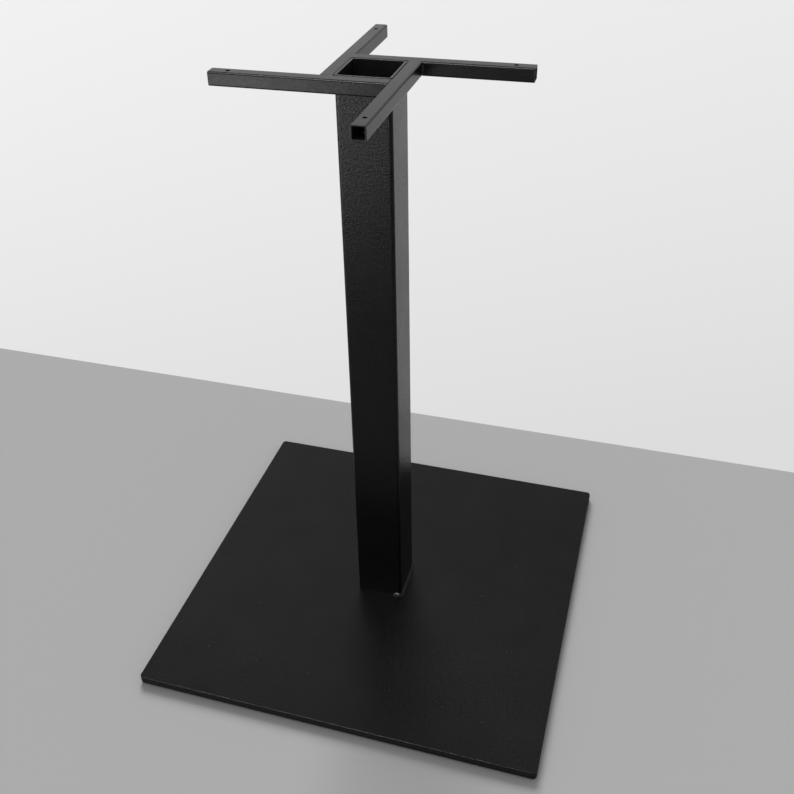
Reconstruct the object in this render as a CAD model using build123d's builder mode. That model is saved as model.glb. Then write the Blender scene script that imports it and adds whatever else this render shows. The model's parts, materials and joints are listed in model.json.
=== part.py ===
from build123d import *
import os

# Welded steel pedestal base for a small table: a square foot plate, a square hollow column, and
# four square tube arms that run round the top of the column like a pinwheel.
# Millimetres, +Z up. The origin is on the floor under the middle of the foot plate,
# +X points right along the front arm and +Y points to the back.

# Whole base
total_height = 720

# Foot plate
plate_side = 500
plate_thickness = 10
plate_corner_radius = 5
plate_edge_radius = 1
plate_edge_chamfer = 0.5

# Felt pads under the corners of the foot plate
pad_diameter = 30
pad_thickness = 2
pad_inset = 35

# Column
column_width = 60
column_wall = 2.5
column_corner_radius = 4
column_inner_radius = 1.5

# Arms
arm_width = 15
arm_wall = 1.5
arm_corner_radius = 2
arm_inner_radius = 0.5
arm_reach = 160
screw_hole_diameter = 4.5
screw_hole_inset = 20

# Weld beads
weld_crown = 0.4
foot_weld_leg = 4
foot_weld_return = 4
left_weld_length = 30
arm_weld_leg = 3

# Levels and places that follow from the sizes above
plate_top = pad_thickness + plate_thickness
column_face = column_width / 2
arm_middle = column_face + arm_width / 2
arm_outer_face = column_face + arm_width
arm_length = arm_reach + column_face
quarter_turn = 90
half_turn = 180

os.makedirs("parts", exist_ok=True)


def save(piece, name):
    """Names a finished piece and writes it to a file of that name."""
    piece.label = name
    export_step(piece, f"parts/{name}.step")


def column_side(turn, level):
    """A level plane at the given height, turned so that one side of the column is its front."""
    return Plane.XY.offset(level).rotated((0, 0, turn))


def arm_end(turn):
    """The upright plane at an arm's outer end, facing along the arm to its inner end."""
    level = column_side(turn, total_height - arm_width / 2)
    return Plane(
        origin=level.from_local_coords((-arm_reach, -arm_middle, 0)),
        x_dir=level.y_dir,
        z_dir=level.x_dir,
    )


# Foot plate, with rounded corners, a softened upper edge and a broken lower one
with BuildPart() as base_plate:
    with BuildSketch(Plane.XY.offset(pad_thickness)):
        RectangleRounded(plate_side, plate_side, plate_corner_radius)
    extrude(amount=plate_thickness)
    fillet(base_plate.edges().group_by(Axis.Z)[-1], radius=plate_edge_radius)
    chamfer(base_plate.edges().group_by(Axis.Z)[0], length=plate_edge_chamfer)
save(base_plate.part, "base_plate")

# Felt pads, stuck to the underside near each corner
pad_offset = plate_side / 2 - pad_inset
pad_places = {
    "front_left_pad": (-pad_offset, -pad_offset),
    "front_right_pad": (pad_offset, -pad_offset),
    "back_right_pad": (pad_offset, pad_offset),
    "back_left_pad": (-pad_offset, pad_offset),
}
for name, place in pad_places.items():
    with BuildPart() as pad:
        with BuildSketch():
            with Locations(place):
                Circle(pad_diameter / 2)
        extrude(amount=pad_thickness)
    save(pad.part, name)

# Column, a square hollow section that stands on the plate and is open at the top
with BuildPart() as column:
    with BuildSketch(Plane.XY.offset(plate_top)):
        RectangleRounded(column_width, column_width, column_corner_radius)
        bore = column_width - 2 * column_wall
        RectangleRounded(bore, bore, column_inner_radius, mode=Mode.SUBTRACT)
    extrude(amount=total_height - plate_top)
save(column.part, "column")

# Arms, each lying along one column face, with its inner end against the side of the next arm
arm_turns = {
    "front_arm": 0,
    "right_arm": quarter_turn,
    "back_arm": 2 * quarter_turn,
    "left_arm": 3 * quarter_turn,
}
for name, turn in arm_turns.items():
    with BuildPart() as arm:
        with BuildSketch(arm_end(turn)):
            RectangleRounded(arm_width, arm_width, arm_corner_radius)
            bore = arm_width - 2 * arm_wall
            RectangleRounded(bore, bore, arm_inner_radius, mode=Mode.SUBTRACT)
        extrude(amount=arm_length)
        with BuildSketch(column_side(turn, total_height)):
            with Locations((screw_hole_inset - arm_reach, -arm_middle)):
                Circle(screw_hole_diameter / 2)
        extrude(amount=-arm_width, mode=Mode.SUBTRACT)
    save(arm.part, name)

# Arm welds: each fills the rounded groove where an arm's inner end meets the side of the next arm,
# flush above and below, and stands as a small bead in the upright outer corner between the two
for name, turn in arm_turns.items():
    with BuildPart() as arm_weld:
        with BuildSketch(column_side(turn, total_height - arm_width)):
            with BuildLine():
                Polyline(
                    (column_face - arm_weld_leg, -arm_outer_face),
                    (column_face - arm_weld_leg, -arm_outer_face + arm_corner_radius),
                    (column_face, -arm_outer_face + arm_corner_radius),
                    (column_face, -column_face),
                    (column_face + arm_corner_radius, -column_face),
                    (column_face + arm_corner_radius, -arm_outer_face - arm_weld_leg),
                    (column_face, -arm_outer_face - arm_weld_leg),
                )
                SagittaArc(
                    (column_face, -arm_outer_face - arm_weld_leg),
                    (column_face - arm_weld_leg, -arm_outer_face),
                    weld_crown,
                )
            make_face()
        extrude(amount=arm_width)
        for neighbour in (turn, turn + quarter_turn):
            with BuildSketch(arm_end(neighbour)):
                RectangleRounded(arm_width, arm_width, arm_corner_radius)
            extrude(amount=arm_length, mode=Mode.SUBTRACT)
    save(arm_weld.part, f"{name}_weld")

# Foot welds: crowned beads between the column and the plate. The right one runs along the whole side
# and turns round both corners, and the left one is a straight run that stops short of the corners.
right_foot = column_side(0, plate_top)
left_foot = column_side(half_turn, plate_top)
weld_end = column_face - column_corner_radius - foot_weld_return
with BuildLine(right_foot) as right_half:
    FilletPolyline(
        (column_face, 0),
        (column_face, -column_face),
        (weld_end, -column_face),
        radius=column_corner_radius,
    )
with BuildLine(left_foot) as left_half:
    Line((column_face, 0), (column_face, -left_weld_length / 2))

foot_welds = {
    "right_foot_weld": (right_foot, right_half.line),
    "left_foot_weld": (left_foot, left_half.line),
}
for name, (foot, half) in foot_welds.items():
    with BuildPart() as foot_weld:
        with BuildSketch(Plane(half @ 0, x_dir=foot.x_dir, z_dir=half % 0)):
            with BuildLine():
                Polyline((foot_weld_leg, 0), (0, 0), (0, foot_weld_leg))
                SagittaArc((0, foot_weld_leg), (foot_weld_leg, 0), weld_crown)
            make_face()
        sweep(path=half)
        end_plane = Plane(half @ 1, z_dir=half % 1)
        bead_end = foot_weld.faces().filter_by(end_plane).sort_by_distance(half @ 1)[0]
        revolve(bead_end, axis=Axis(half @ 1, (0, 0, -1)), revolution_arc=quarter_turn)
        mirror(about=Plane.XZ)
    save(foot_weld.part, name)
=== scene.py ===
import json
import math

import bpy
from mathutils import Matrix, Vector, noise


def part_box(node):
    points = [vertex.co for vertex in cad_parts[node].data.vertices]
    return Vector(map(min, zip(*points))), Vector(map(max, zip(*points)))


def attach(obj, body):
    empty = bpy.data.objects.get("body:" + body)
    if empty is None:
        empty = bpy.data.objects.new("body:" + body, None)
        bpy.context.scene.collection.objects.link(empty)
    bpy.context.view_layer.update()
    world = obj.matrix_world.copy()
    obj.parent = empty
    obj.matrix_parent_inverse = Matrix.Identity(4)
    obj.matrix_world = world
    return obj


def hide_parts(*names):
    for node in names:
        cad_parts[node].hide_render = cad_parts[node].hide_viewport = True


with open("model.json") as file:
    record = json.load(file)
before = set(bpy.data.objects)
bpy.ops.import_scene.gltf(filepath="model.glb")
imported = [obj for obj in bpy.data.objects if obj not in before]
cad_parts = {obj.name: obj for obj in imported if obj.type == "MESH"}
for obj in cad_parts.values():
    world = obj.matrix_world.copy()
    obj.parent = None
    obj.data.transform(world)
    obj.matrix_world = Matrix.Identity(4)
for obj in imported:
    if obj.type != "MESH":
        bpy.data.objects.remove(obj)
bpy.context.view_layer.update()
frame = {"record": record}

# A welded steel pedestal base in black powder coat. The frame is in metres: +Z up, the origin on the
# floor under the middle of the foot plate, +X right along the front arm, +Y to the back.
mm = 0.001

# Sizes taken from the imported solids
plate_low, plate_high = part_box("base_plate")
column_low, column_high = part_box("column")
arm_low, arm_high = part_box("front_arm")
plate_side = plate_high.x - plate_low.x
plate_top = plate_high.z
column_width = column_high.x - column_low.x
column_face = column_width / 2
column_height = column_high.z - column_low.z
arm_width = arm_high.y - arm_low.y
arm_length = arm_high.x - arm_low.x
arm_middle = (arm_low + arm_high) / 2
screw_hole_radius = frame["record"]["mounts"][0]["dims"]["hole_r_mm"] * mm

# Sizes that the solids' boxes do not tell
plate_corner_radius = 5 * mm
plate_edge_radius = 1 * mm
plate_lower_radius = 0.5 * mm
column_wall = 2.5 * mm
column_corner_radius = 4 * mm
column_inner_radius = 1.5 * mm
column_rim_radius = 0.2 * mm
arm_wall = 1.5 * mm
arm_corner_radius = 2 * mm
arm_inner_radius = 0.5 * mm
arm_rim_radius = 0.3 * mm
screw_hole_inset = 20 * mm
screw_hole_edge = 0.25 * mm
pad_bulge = 0.4 * mm

# Weld beads. The root is how far a bead reaches into the pieces that it joins, the pivot is how far behind
# their face its ends turn, and the fullness is the power of the curve by which an arm's bead swells.
foot_weld_leg = 4 * mm
foot_weld_return = 4 * mm
left_weld_length = 30 * mm
arm_weld_leg = 3 * mm
arm_weld_fullness = 4
weld_crown = 0.4 * mm
weld_root = 0.3 * mm
weld_pivot = 0.35 * mm

# Depth of each arm's seam below its top
seam_dips = {
    "front_arm": 0.5 * mm,
    "right_arm": 0.06 * mm,
    "back_arm": 0.06 * mm,
    "left_arm": 0.15 * mm,
}

# Ripples and unevenness of the beads, and fuzz of the felt. The layer and the seed are places in the noise.
ripple_pitch = 1.7 * mm
ripple_height = 0.16 * mm
ripple_bow = 0.9
bead_unevenness = 0.8 * mm
bead_wander = 9 * mm
bead_noise_layer = 0.5
arm_weld_seed = 3.3
fuzz_height = 0.15 * mm
fuzz_waves_round = 9
fuzz_waves_up = 4

# Noise patterns of the surfaces, as cycles a metre, detail and roughness, and the span that they fill
coat_grain = (500, 3, 0.6)
coat_peel = (160, 2, 0.5)
coat_clouds = (18, 5, 0.6)
bore_patches = (60, 5, 0.6)
bore_grain = (900, 3, 0.6)
felt_fibres = (1600, 6, 0.75)
noise_span = (0.3, 0.7)

# Powder coat and dust. The peel's share is its strength beside the grain's. The mirror level is the usual
# one, and the hollow shade is how far a full grain changes it.
coat_ior = 1.29
coat_greys = (0.0012, 0.004)
coat_grain_height = 0.39 * mm
coat_peel_height = 0.3 * mm
coat_peel_share = 0.3
mirror_level = 0.5
hollow_shade = 0.26
dust_spacing = 85 * mm
dust_radius = 0.9 * mm
dust_grey = 0.055

# Thin coat inside the tubes. Its greys, lighter than the outer coat's, are partly painted light that stands
# in for the light reaching into the bores
bore_greys_with_painted_light = (0.004, 0.009)
bore_roughness = (0.42, 0.5)
bore_grain_strength = 0.4
bore_grain_height = 0.2 * mm

# Felt
felt_greys = (0.05, 0.13)
felt_roughness = 0.95
felt_sheen = 0.3
felt_fibre_strength = 0.8
felt_fibre_height = 0.4 * mm

# Fineness of the meshes
corner_steps = 10
rim_steps = 3
hole_steps = 32
bead_step = 0.3 * mm
bead_end_steps = 14
bead_width_steps = 14
pad_steps = 8
pad_sides = 72
smooth_angle = math.radians(35)

quarter_turn = math.radians(90)
arm_quarters = {"front_arm": 0, "right_arm": 1, "back_arm": 2, "left_arm": 3}


# Mesh building
def add_piece(name, vertices, faces, *materials):
    """Adds a mesh object with the given name and materials, at the origin of the frame."""
    mesh = bpy.data.meshes.new(name)
    mesh.from_pydata(vertices, [], faces)
    mesh.validate()
    for material in materials:
        mesh.materials.append(material)
    piece = bpy.data.objects.new(name, mesh)
    bpy.context.scene.collection.objects.link(piece)
    return piece


def join_rings(rings, closed):
    """Vertices and faces of a skin through equal rings of points. Closed skins lead back to their first
    ring, and the others end in a flat face at each end."""
    count = len(rings[0])
    vertices = [point for ring in rings for point in ring]
    faces = []
    for index in range(len(rings) if closed else len(rings) - 1):
        here = index * count
        there = (index + 1) % len(rings) * count
        for side in range(count):
            after = (side + 1) % count
            faces.append((here + side, here + after, there + after, there + side))
    if not closed:
        faces.append(tuple(reversed(range(count))))
        faces.append(tuple(range(len(vertices) - count, len(vertices))))
    return vertices, faces


def recoat_band(piece, band, count):
    """Gives the second material of a piece to one band of faces, between two rings of so many points."""
    for face in piece.data.polygons[band * count:(band + 1) * count]:
        face.material_index = 1


def rounded_square(width, radius, inset, level):
    """Points round a square with rounded corners, drawn in by the inset, at the given level."""
    corners = ((1, 1), (-1, 1), (-1, -1), (1, -1))
    middle = width / 2 - radius
    points = []
    for quarter, (x, y) in enumerate(corners):
        for step in range(corner_steps + 1):
            angle = quarter_turn * (quarter + step / corner_steps)
            points.append(Vector((
                x * middle + (radius - inset) * math.cos(angle),
                y * middle + (radius - inset) * math.sin(angle),
                level,
            )))
    return points


def rim_profile(radius):
    """Insets and depths along a rounded rim, from the end face to the side face."""
    steps = [quarter_turn * step / rim_steps for step in range(rim_steps + 1)]
    return [(radius * (1 - math.sin(angle)), radius * (1 - math.cos(angle))) for angle in steps]


def tube(name, width, radius, wall, inner_radius, rim, length, coat):
    """An open square tube along +Z with softened rims, and with a coat of its own inside."""
    bore = width - 2 * wall
    profile = rim_profile(rim)
    back = list(reversed(profile))
    rings = [rounded_square(width, radius, inset, depth) for inset, depth in profile]
    rings += [rounded_square(width, radius, inset, length - depth) for inset, depth in back]
    rings += [rounded_square(bore, inner_radius, -inset, length - depth) for inset, depth in profile]
    bore_band = len(rings) - 1
    rings += [rounded_square(bore, inner_radius, -inset, depth) for inset, depth in back]
    piece = add_piece(name, *join_rings(rings, closed=True), coat, bore_coat)
    recoat_band(piece, bore_band, len(rings[0]))
    return piece


def smooth(piece):
    """Shades the rounded parts of a piece smoothly and its flat faces flat."""
    piece.data.shade_smooth()
    piece.data.set_sharp_from_angle(angle=smooth_angle)
    weighted = piece.modifiers.new("weighted_normals", "WEIGHTED_NORMAL")
    weighted.keep_sharp = True


def cut(piece, cutter):
    """Cuts one piece away from another and removes the cutter."""
    boolean = piece.modifiers.new("cut", "BOOLEAN")
    boolean.object = cutter
    boolean.operation = "DIFFERENCE"
    boolean.solver = "EXACT"
    depsgraph = bpy.context.evaluated_depsgraph_get()
    piece.data = bpy.data.meshes.new_from_object(piece.evaluated_get(depsgraph))
    piece.modifiers.clear()
    bpy.data.objects.remove(cutter)


def dress(piece, node):
    """Shades a finished piece, hangs it on the root body and hides the solid that it stands for."""
    smooth(piece)
    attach(piece, "root")
    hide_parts(node)


# Materials
def new_material(name):
    """A material with its nodes, its links and its main shader."""
    material = bpy.data.materials.new(name)
    material.use_nodes = True
    tree = material.node_tree
    return material, tree, tree.nodes["Principled BSDF"]


def place_in_frame(tree):
    """The place in the frame, which is the place in the piece, because pieces have the frame's origin."""
    return tree.nodes.new("ShaderNodeTexCoord").outputs["Object"]


def noise_texture(tree, place, scale, detail, roughness):
    """A noise texture fixed to the frame, with its scale in cycles a metre."""
    texture = tree.nodes.new("ShaderNodeTexNoise")
    texture.inputs["Scale"].default_value = scale
    texture.inputs["Detail"].default_value = detail
    texture.inputs["Roughness"].default_value = roughness
    tree.links.new(place, texture.inputs["Vector"])
    return texture.outputs["Fac"]


def ramp(tree, factor, *stops):
    """Greys between two or more stops, each given as a place from 0 to 1 and a grey."""
    node = tree.nodes.new("ShaderNodeValToRGB")
    elements = node.color_ramp.elements
    for _ in stops[2:]:
        elements.new(1)
    for element, (position, grey) in zip(elements, stops):
        element.position = position
        element.color = (grey, grey, grey, 1)
    tree.links.new(factor, node.inputs["Fac"])
    return node.outputs["Color"]


def spread(tree, pattern, values):
    """A pattern of noise turned into values between a low one and a high one."""
    return ramp(tree, pattern, *zip(noise_span, values))


def bump(tree, height, strength, distance, normal=None):
    """Surface relief from a height, on top of an earlier relief where there is one."""
    node = tree.nodes.new("ShaderNodeBump")
    node.inputs["Strength"].default_value = strength
    node.inputs["Distance"].default_value = distance
    tree.links.new(height, node.inputs["Height"])
    if normal is not None:
        tree.links.new(normal, node.inputs["Normal"])
    return node.outputs["Normal"]


def dust(tree, place, shade):
    """A few specks of pale dust on a shade. Each cell of the pattern holds one speck of its own size."""
    cells = tree.nodes.new("ShaderNodeTexVoronoi")
    cells.voronoi_dimensions = "2D"
    cells.inputs["Scale"].default_value = 1 / dust_spacing
    tree.links.new(place, cells.inputs["Vector"])
    size = tree.nodes.new("ShaderNodeMath")
    size.operation = "MULTIPLY"
    size.inputs[1].default_value = dust_radius / dust_spacing
    tree.links.new(cells.outputs["Color"], size.inputs[0])
    speck = tree.nodes.new("ShaderNodeMath")
    speck.operation = "LESS_THAN"
    tree.links.new(cells.outputs["Distance"], speck.inputs[0])
    tree.links.new(size.outputs["Value"], speck.inputs[1])
    mixed = tree.nodes.new("ShaderNodeMixRGB")
    mixed.inputs["Color2"].default_value = (dust_grey, dust_grey, dust_grey, 1)
    tree.links.new(speck.outputs["Value"], mixed.inputs["Fac"])
    tree.links.new(shade, mixed.inputs["Color1"])
    return mixed.outputs["Color"]


def powder_coat(name, grain_strength, roughness, dusty=False):
    """Satin black powder coat: a fine grain over a faint orange peel, slightly uneven in shade and sheen.
    The hollows of the grain mirror less than its tops."""
    material, tree, shader = new_material(name)
    place = place_in_frame(tree)
    grain = noise_texture(tree, place, *coat_grain)
    peel = noise_texture(tree, place, *coat_peel)
    clouds = noise_texture(tree, place, *coat_clouds)
    relief = bump(tree, peel, coat_peel_share * grain_strength, coat_peel_height)
    relief = bump(tree, grain, grain_strength, coat_grain_height, relief)
    shade = spread(tree, clouds, coat_greys)
    if dusty:
        shade = dust(tree, place, shade)
    hollow = hollow_shade * grain_strength
    mirrored = spread(tree, grain, (mirror_level - hollow, mirror_level + hollow))
    tree.links.new(shade, shader.inputs["Base Color"])
    tree.links.new(spread(tree, clouds, roughness), shader.inputs["Roughness"])
    tree.links.new(mirrored, shader.inputs["Specular IOR Level"])
    tree.links.new(relief, shader.inputs["Normal"])
    shader.inputs["IOR"].default_value = coat_ior
    return material


def inner_coat():
    """The thin dull coat inside the tubes, where little powder reaches. Its lifted greys are partly painted
    light.
    """
    material, tree, shader = new_material("thin_inner_coat_and_painted_light")
    place = place_in_frame(tree)
    patches = noise_texture(tree, place, *bore_patches)
    grain = noise_texture(tree, place, *bore_grain)
    relief = bump(tree, grain, bore_grain_strength, bore_grain_height)
    # Painted light: the lifted greys stand in for the light that reaches inside the tubes
    tree.links.new(spread(tree, patches, bore_greys_with_painted_light), shader.inputs["Base Color"])
    tree.links.new(spread(tree, patches, bore_roughness), shader.inputs["Roughness"])
    tree.links.new(relief, shader.inputs["Normal"])
    shader.inputs["IOR"].default_value = coat_ior
    return material


def felt():
    """Pressed dark felt with short fibres."""
    material, tree, shader = new_material("pressed_felt")
    fibres = noise_texture(tree, place_in_frame(tree), *felt_fibres)
    relief = bump(tree, fibres, felt_fibre_strength, felt_fibre_height)
    tree.links.new(spread(tree, fibres, felt_greys), shader.inputs["Base Color"])
    tree.links.new(relief, shader.inputs["Normal"])
    shader.inputs["Roughness"].default_value = felt_roughness
    shader.inputs["Sheen Weight"].default_value = felt_sheen
    return material


column_coat = powder_coat("grainy_powder_coat", grain_strength=1.0, roughness=(0.2, 0.26))
arm_coat = powder_coat("smooth_powder_coat", grain_strength=0.3, roughness=(0.26, 0.31))
plate_coat = powder_coat("dusty_powder_coat", grain_strength=1.0, roughness=(0.17, 0.22), dusty=True)
edge_coat = powder_coat("cut_edge_powder_coat", grain_strength=1.0, roughness=(0.75, 0.85))
weld_coat = powder_coat("coated_weld_bead", grain_strength=0.5, roughness=(0.2, 0.26))
bore_coat = inner_coat()
felt_cloth = felt()


# Foot plate
def plate():
    """The foot plate, its upper edge softened and its lower edge just broken. The cut sides between them
    are rougher than the rolled faces."""
    lower = [(inset, plate_low.z + depth) for inset, depth in rim_profile(plate_lower_radius)]
    upper = [(inset, plate_top - depth) for inset, depth in reversed(rim_profile(plate_edge_radius))]
    rings = []
    for inset, level in lower + upper:
        rings.append(rounded_square(plate_side, plate_corner_radius, inset, level))
    piece = add_piece("foot_plate", *join_rings(rings, closed=False), plate_coat, edge_coat)
    recoat_band(piece, len(lower) - 1, len(rings[0]))
    return piece


# Column
def column():
    """The square column, open at the top."""
    piece = tube("column_tube", column_width, column_corner_radius, column_wall, column_inner_radius,
                 column_rim_radius, column_height, column_coat)
    piece.data.transform(Matrix.Translation((0, 0, column_low.z)))
    return piece


# Arms
def screw_hole(place):
    """A cutter for the screw hole through both walls of an arm, flared where it breaks the surface."""
    mouth = screw_hole_radius + screw_hole_edge + arm_wall
    levels = (
        (arm_low.z - arm_wall, mouth),
        (arm_low.z + screw_hole_edge, screw_hole_radius),
        (arm_high.z - screw_hole_edge, screw_hole_radius),
        (arm_high.z + arm_wall, mouth),
    )
    turns = [math.tau * step / hole_steps for step in range(hole_steps)]
    rings = []
    for level, radius in levels:
        rings.append([place + Vector((radius * math.cos(a), radius * math.sin(a), level)) for a in turns])
    return add_piece("screw_hole", *join_rings(rings, closed=False))


def arm(name, quarter):
    """One arm. It is built as the front arm and turned to its side of the column."""
    piece = tube(f"{name}_tube", arm_width, arm_corner_radius, arm_wall, arm_inner_radius,
                 arm_rim_radius, arm_length, arm_coat)
    upright_to_level = Matrix(((0, 0, 1), (1, 0, 0), (0, 1, 0))).to_4x4()
    to_its_place = Matrix.Translation((arm_low.x, arm_middle.y, arm_middle.z))
    piece.data.transform(to_its_place @ upright_to_level)
    cut(piece, screw_hole(Vector((arm_low.x + screw_hole_inset, arm_middle.y, 0))))
    piece.data.transform(Matrix.Rotation(quarter * quarter_turn, 4, "Z"))
    return piece


# Weld beads
bead_shares = [step / bead_width_steps for step in range(bead_width_steps + 1)]


def uneven(distance, seed):
    """A smooth random swell along a bead, between about -1 and 1."""
    return noise.noise(Vector((distance / bead_wander, seed, bead_noise_layer)))


def ripple(distance, share):
    """Height of the overlapping ripples of a bead, bowed across its width."""
    phase = distance / ripple_pitch + ripple_bow * (2 * share - 1) ** 2
    return ripple_height * (abs(math.sin(math.pi * phase)) - 1)


def bead_leg(leg, distance, seed):
    """The leg of a bead at a distance along it, which its unevenness makes shorter."""
    return leg - bead_unevenness / 2 + bead_unevenness / 2 * uneven(distance, seed)


def bead_crown(distance, share):
    """How far a bead is crowned at a share of its width, measured along each of its legs."""
    bulge = 4 * share * (1 - share)
    return bulge * (weld_crown + ripple(distance, share)) / math.sqrt(2)


def lengths_along(points):
    """The distance of each point from the first one, along the line through them."""
    lengths = [0.0]
    for before, after in zip(points, points[1:]):
        lengths.append(lengths[-1] + (after - before).length)
    return lengths


def away(angle):
    """The direction in plan at an angle."""
    return Vector((math.cos(angle), math.sin(angle)))


def bead_round_end(place, straight, first):
    """Stations that swing a bead's section by a quarter turn from the first angle, to close its end. The
    pivot lies behind the root of the straight part, so that the skin of the bead doesn't cross itself."""
    pivot = place - weld_pivot * away(straight)
    angles = [first + quarter_turn * step / bead_end_steps for step in range(bead_end_steps + 1)]
    return [(pivot + weld_pivot * away(angle), angle) for angle in angles]


def bead_straight(start, angle, length):
    """Stations along a straight run, with the bead on the right of the way that it goes."""
    forward = away(angle + quarter_turn)
    count = round(length / bead_step)
    return [(start + forward * length * step / count, angle) for step in range(1, count)]


def bead_corner(centre, angle):
    """Stations round a rounded corner of the column."""
    count = round(column_corner_radius * quarter_turn / bead_step)
    turned = [angle + quarter_turn * step / count for step in range(count + 1)]
    return [(centre + column_corner_radius * away(a), a) for a in turned]


def right_foot_line():
    """Stations along the right side of the column's foot, round both corners: each is a place in plan
    and the angle of the direction that points away from the column."""
    straight = column_face - column_corner_radius
    start = Vector((straight - foot_weld_return, -column_face))
    end = Vector((straight - foot_weld_return, column_face))
    stations = bead_round_end(start, -quarter_turn, -2 * quarter_turn)
    stations += bead_straight(start, -quarter_turn, foot_weld_return)
    stations += bead_corner(Vector((straight, -straight)), -quarter_turn)
    stations += bead_straight(Vector((column_face, -straight)), 0, 2 * straight)
    stations += bead_corner(Vector((straight, straight)), 0)
    stations += bead_straight(Vector((straight, column_face)), quarter_turn, foot_weld_return)
    return stations + bead_round_end(end, quarter_turn, quarter_turn)


def left_foot_line():
    """Stations along the straight bead of the left side, as if it were on the right."""
    start = Vector((column_face, -left_weld_length / 2))
    end = Vector((column_face, left_weld_length / 2))
    stations = bead_round_end(start, 0, -quarter_turn)
    stations += bead_straight(start, 0, left_weld_length)
    return stations + bead_round_end(end, 0, 0)


def foot_weld_section(distance, seed):
    """Outward and upward places round a foot weld: its root, its upright leg, its crown and its toe."""
    leg = bead_leg(foot_weld_leg, distance, seed)
    section = [(-weld_root, -weld_root), (-weld_root, leg)]
    for share in bead_shares:
        crown = bead_crown(distance, share)
        section.append((leg * share + crown, leg * (1 - share) + crown))
    return section + [(leg, -weld_root)]


def foot_weld(name, stations, turn, seed):
    """A rippled bead through the stations, between the column and the plate."""
    middles = [place + away(angle) * foot_weld_leg / 2 for place, angle in stations]
    rings = []
    for (place, angle), distance in zip(stations, lengths_along(middles)):
        ring = []
        for outward, upward in foot_weld_section(distance, seed):
            plan = place + away(angle) * outward
            ring.append(Vector((plan.x, plan.y, plate_top + upward)))
        rings.append(ring)
    piece = add_piece(f"{name}_bead", *join_rings(rings, closed=False), weld_coat)
    piece.data.transform(Matrix.Rotation(turn, 4, "Z"))
    return piece


def arm_corner(centre, first, last):
    """Stations round one rounded edge of an arm, from one way out of it to the next."""
    stations = []
    for step in range(1, corner_steps):
        angle = quarter_turn * step / corner_steps
        way = first * math.cos(angle) + last * math.sin(angle)
        stations.append((centre + arm_corner_radius * way, way, 0.0))
    return stations


def arm_weld_line():
    """Stations across the end of an arm: over its top, down its outer face and back along its underside.
    Each holds a place in the arm's section, the way out of the arm there, and how far the bead has
    grown."""
    half = arm_width / 2
    straight = half - arm_corner_radius
    count = round(2 * straight / bead_step)
    places = [straight - 2 * straight * step / count for step in range(count + 1)]
    up, out, down = Vector((0, 1)), Vector((-1, 0)), Vector((0, -1))
    stations = [(Vector((half, half)), up, 0.0)]
    stations += [(Vector((place, half)), up, 0.0) for place in places]
    stations += arm_corner(Vector((-straight, straight)), up, out)
    for place in places[1:-1]:
        grown = math.sqrt(1 - (place / straight) ** arm_weld_fullness)
        stations.append((Vector((-half, place)), out, grown))
    stations += arm_corner(Vector((-straight, -straight)), out, down)
    stations += [(Vector((-place, -half)), down, 0.0) for place in places]
    return stations + [(Vector((half, -half)), down, 0.0)]


def seam_gap(level):
    """How far the rounded edge of the next arm stands back from the seam, at a level from its middle."""
    past = abs(level) - (arm_width / 2 - arm_corner_radius)
    if past <= 0:
        return 0.0
    return arm_corner_radius - math.sqrt(max(0.0, arm_corner_radius ** 2 - past ** 2))


def arm_weld_section(level, grown, distance, seam_dip, seed):
    """Places along the arm and outward round its weld: the crown of the bead or seam, and its root."""
    leg = grown * bead_leg(arm_weld_leg, distance, seed)
    width = max(leg, weld_root)
    gap = seam_gap(level)
    dip = (1 - grown) * seam_dip
    section = []
    for share in bead_shares:
        crown = grown * bead_crown(distance, share)
        section.append((gap * share - width * (1 - share) - crown, leg * share + crown - dip))
    bottom = -seam_dip - weld_root
    return section + [(gap + weld_root, leg - seam_dip), (gap + weld_root, bottom), (-width, bottom)]


def arm_weld(name, quarter, seam_dip, seed):
    """The weld of one arm's end: a seam filled nearly flush over and under the arm, and a rippled bead in
    the upright corner outside. It is built for the front arm and turned to its side of the column."""
    stations = arm_weld_line()
    distances = lengths_along([place for place, _, _ in stations])
    rings = []
    for (place, way, grown), distance in zip(stations, distances):
        ring = []
        for along, outward in arm_weld_section(place.y, grown, distance, seam_dip, seed):
            point = place + way * outward
            ring.append(Vector((column_face + along, arm_middle.y + point.x, arm_middle.z + point.y)))
        rings.append(ring)
    # Joined from the last ring to the first, the faces look outwards
    rings.reverse()
    piece = add_piece(f"{name}_bead", *join_rings(rings, closed=False), weld_coat)
    piece.data.transform(Matrix.Rotation(quarter * quarter_turn, 4, "Z"))
    return piece


# Felt pads
def fuzz(angle, share):
    """How far the felt's fibres stand out, at an angle round a pad and at a share of its height."""
    round_x = fuzz_waves_round * math.cos(angle)
    round_y = fuzz_waves_round * math.sin(angle)
    return fuzz_height * noise.noise(Vector((round_x, round_y, fuzz_waves_up * share)))


def pad(node):
    """A felt disc, slightly bulged where the weight of the base presses on it."""
    low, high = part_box(node)
    middle = (low + high) / 2
    radius = (high.x - low.x) / 2
    height = high.z - low.z
    rings = []
    for step in range(pad_steps + 1):
        share = step / pad_steps
        reach = radius - pad_bulge + pad_bulge * math.sqrt(max(0.0, 1 - (2 * share - 1) ** 2))
        ring = []
        for side in range(pad_sides):
            angle = math.tau * side / pad_sides
            spread_out = min(radius, reach + fuzz(angle, share))
            ring.append(Vector((
                middle.x + spread_out * math.cos(angle),
                middle.y + spread_out * math.sin(angle),
                low.z + height * share,
            )))
        rings.append(ring)
    return add_piece(f"{node}_felt", *join_rings(rings, closed=False), felt_cloth)


dress(plate(), "base_plate")
dress(column(), "column")

for arm_name, arm_quarter in arm_quarters.items():
    weld_name = f"{arm_name}_weld"
    dress(arm(arm_name, arm_quarter), arm_name)
    weld = arm_weld(weld_name, arm_quarter, seam_dips[arm_name], arm_quarter + arm_weld_seed)
    dress(weld, weld_name)

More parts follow.
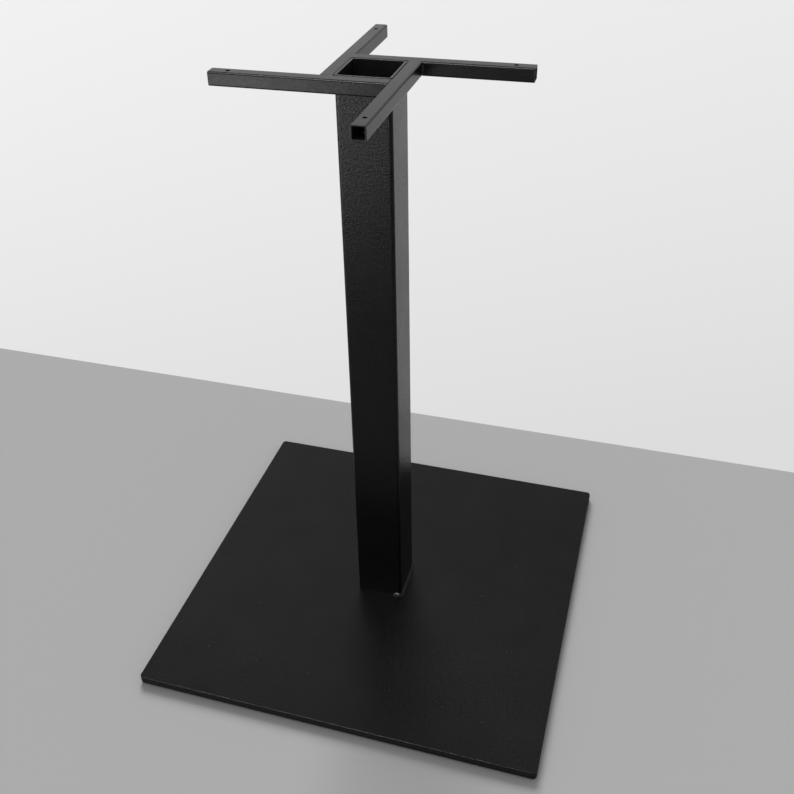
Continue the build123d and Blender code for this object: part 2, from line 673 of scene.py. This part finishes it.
foot_lines = {"right_foot_weld": (right_foot_line(), 0), "left_foot_weld": (left_foot_line(), math.pi)}
for weld_name, (weld_line, weld_turn) in foot_lines.items():
    dress(foot_weld(weld_name, weld_line, weld_turn, weld_turn), weld_name)

for pad_name in ("front_left_pad", "front_right_pad", "back_right_pad", "back_left_pad"):
    disc = pad(pad_name)
    dress(disc, pad_name)


# Floor, backdrop and light
floor_grey = 0.42
wall_grey = 0.85
wall_distance = 0.395
stage_reach = 5.0
stage_roughness = 0.9

# The backdrop's glow is painted light. Its greys change upwards and to the left: the way of the change, its
# start and its end, and the greys at shares of it, as the camera and as glossy surfaces see it
wall_rise = (-0.35, 0, 1)
wall_rise_span = (-0.1, 2.1)
wall_seen = ((0, 0.72), (0.5, 0.9))
wall_mirrored = ((0, 0.52), (0.5, 1.0), (0.65, 1.0), (0.8, 0.3))

# The surroundings are pale all round and darker overhead: greys at the upward part of a direction, as the
# camera and glossy surfaces see them, and the grey that lights matt surfaces
surroundings_seen = ((0.35, 0.8), (0.8, 0.25))
surroundings_light = 0.5


def light_path(tree, kind):
    """1 for rays of one kind, and 0 for others."""
    return tree.nodes.new("ShaderNodeLightPath").outputs[kind]


def seen_or_mirrored(tree):
    """1 for what the camera sees and for what glossy surfaces mirror, and 0 for light on matt surfaces."""
    either = tree.nodes.new("ShaderNodeMath")
    either.operation = "MAXIMUM"
    tree.links.new(light_path(tree, "Is Camera Ray"), either.inputs[0])
    tree.links.new(light_path(tree, "Is Glossy Ray"), either.inputs[1])
    return either.outputs["Value"]


def mix_shaders(tree, factor, first, second):
    """A blend of two shaders."""
    node = tree.nodes.new("ShaderNodeMixShader")
    tree.links.new(factor, node.inputs["Fac"])
    tree.links.new(first, node.inputs[1])
    tree.links.new(second, node.inputs[2])
    return node.outputs["Shader"]


def wall_glow(tree, greys):
    """A plain glow that runs through the greys up the backdrop."""
    rise = tree.nodes.new("ShaderNodeVectorMath")
    rise.operation = "DOT_PRODUCT"
    rise.inputs[1].default_value = wall_rise
    tree.links.new(place_in_frame(tree), rise.inputs[0])
    span = tree.nodes.new("ShaderNodeMapRange")
    span.inputs["From Min"].default_value, span.inputs["From Max"].default_value = wall_rise_span
    tree.links.new(rise.outputs["Value"], span.inputs["Value"])
    glow = tree.nodes.new("ShaderNodeEmission")
    tree.links.new(ramp(tree, span.outputs["Result"], *greys), glow.inputs["Color"])
    return glow.outputs["Emission"]


def stage_plane(name, corners, grey):
    """A plain matt surface of the stage."""
    material, tree, shader = new_material(f"{name}_paint")
    shader.inputs["Base Color"].default_value = (grey, grey, grey, 1)
    shader.inputs["Roughness"].default_value = stage_roughness
    shader.inputs["Specular IOR Level"].default_value = 0
    plane = add_piece(name, corners, [(0, 1, 2, 3)], material)
    return plane, tree, shader


stage_plane("floor", [
    (-stage_reach, -stage_reach, 0),
    (stage_reach, -stage_reach, 0),
    (stage_reach, stage_reach, 0),
    (-stage_reach, stage_reach, 0),
], floor_grey)

# The backdrop is a pale wall that glows only for the eye, and that is clear when it is seen from behind
backdrop, wall_tree, wall_shader = stage_plane("backdrop", [
    (-stage_reach, wall_distance, 0),
    (stage_reach, wall_distance, 0),
    (stage_reach, wall_distance, stage_reach),
    (-stage_reach, wall_distance, stage_reach),
], wall_grey)
backdrop.visible_shadow = False
backdrop.visible_diffuse = False
wall_face = mix_shaders(wall_tree, light_path(wall_tree, "Is Camera Ray"),
                        wall_glow(wall_tree, wall_mirrored), wall_glow(wall_tree, wall_seen))
wall_front = mix_shaders(wall_tree, seen_or_mirrored(wall_tree), wall_shader.outputs["BSDF"], wall_face)
wall_clear = wall_tree.nodes.new("ShaderNodeBsdfTransparent").outputs["BSDF"]
wall_behind = wall_tree.nodes.new("ShaderNodeNewGeometry").outputs["Backfacing"]
wall_tree.links.new(mix_shaders(wall_tree, wall_behind, wall_front, wall_clear),
                    wall_tree.nodes["Material Output"].inputs["Surface"])


def aim_lamp(lamp, place, target):
    """Puts a lamp at its place, pointing at a target, and keeps it out of the picture itself."""
    holder = bpy.data.objects.new(lamp.name, lamp)
    holder.location = place
    holder.rotation_euler = (Vector(target) - Vector(place)).to_track_quat("-Z", "Y").to_euler()
    holder.visible_camera = False
    bpy.context.scene.collection.objects.link(holder)
    return holder


def reflector(name, place, target, size, energy):
    """A soft box that shows in glossy surfaces and throws no light on the floor."""
    lamp = bpy.data.lights.new(name, "AREA")
    lamp.shape = "RECTANGLE"
    lamp.size, lamp.size_y = size
    lamp.energy = energy
    aim_lamp(lamp, place, target).visible_diffuse = False


back_light = bpy.data.lights.new("back_light", "SUN")
back_light.energy = 2.5
back_light.angle = math.radians(30)
aim_lamp(back_light, place=(-0.9, 2.3, 1.9), target=(0, 0, 0)).visible_glossy = False
reflector("upper_card", place=(-0.45, -1.1, 2.3), target=(0, 0, 0.35), size=(1.4, 0.5), energy=60)
reflector("front_card", place=(-0.9, -1.2, 0.25), target=(0, 0, 0.5), size=(1.0, 0.4), energy=9)

world = bpy.data.worlds.new("soft_surroundings")
world.use_nodes = True
air = world.node_tree
air_light = air.nodes["Background"]
air_light.inputs["Color"].default_value = (surroundings_light, surroundings_light, surroundings_light, 1)
air_seen = air.nodes.new("ShaderNodeBackground")
upward = air.nodes.new("ShaderNodeSeparateXYZ")
air.links.new(air.nodes.new("ShaderNodeTexCoord").outputs["Generated"], upward.inputs["Vector"])
air.links.new(ramp(air, upward.outputs["Z"], *surroundings_seen), air_seen.inputs["Color"])
air_mixed = mix_shaders(air, seen_or_mirrored(air), air_light.outputs["Background"],
                        air_seen.outputs["Background"])
air.links.new(air_mixed, air.nodes["World Output"].inputs["Surface"])
bpy.context.scene.world = world

# Camera at the photograph's place
camera_place = Vector((0.3035, -0.9527, 1.0219))
camera_target = Vector((-0.0133, 0, 0.3687))
camera_roll = math.radians(-2.1)
camera_lens = 45.33
camera_shift = (0.035, -0.0474)
camera_clip_start = 0.01

camera = bpy.data.objects.new("camera", bpy.data.cameras.new("camera"))
camera.location = camera_place
aim = (camera_target - camera_place).to_track_quat("-Z", "Y")
camera.rotation_mode = "QUATERNION"
camera.rotation_quaternion = aim @ Matrix.Rotation(camera_roll, 3, "Z").to_quaternion()
camera.data.lens = camera_lens
camera.data.shift_x, camera.data.shift_y = camera_shift
camera.data.clip_start = camera_clip_start
bpy.context.scene.collection.objects.link(camera)
bpy.context.scene.camera = camera
bpy.context.scene.view_settings.view_transform = "Standard"
